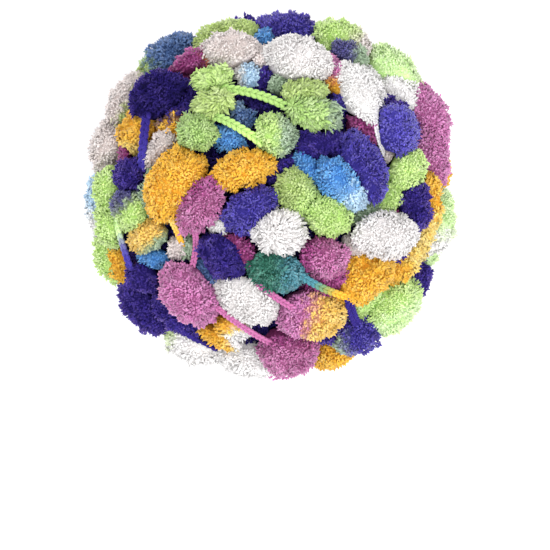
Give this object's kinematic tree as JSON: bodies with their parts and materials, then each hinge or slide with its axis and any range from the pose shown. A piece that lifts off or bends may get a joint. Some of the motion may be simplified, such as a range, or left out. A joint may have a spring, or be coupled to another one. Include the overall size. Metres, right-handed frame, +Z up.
{
  "type": "wound ball of pom pom yarn",
  "caption": "Slightly flattened ball of thick yarn, wound over and over itself, with plump tufted pompoms along a thin chain-stitched cord.",
  "frame": {"origin": "middle of the flat that the ball rests on, under the ball's middle", "axes": "+Z up out of the face that the picture shows, through the ball's flattened depth; +X to the right and +Y to the top of that face as pictured"},
  "size_m": [0.1997, 0.1973, 0.145],
  "materials": {
    "pompom_pile": "fluffy cut pile of acrylic or polyester yarn, space-dyed violet, lime, white, orchid, orange and blue",
    "chain_cord": "matte chain-stitched cord, dyed in the same run of colours as the pompoms beside it"
  },
  "bodies": {
    "root": {"wound_ball": "pompom_pile"}
  },
  "joints": []
}
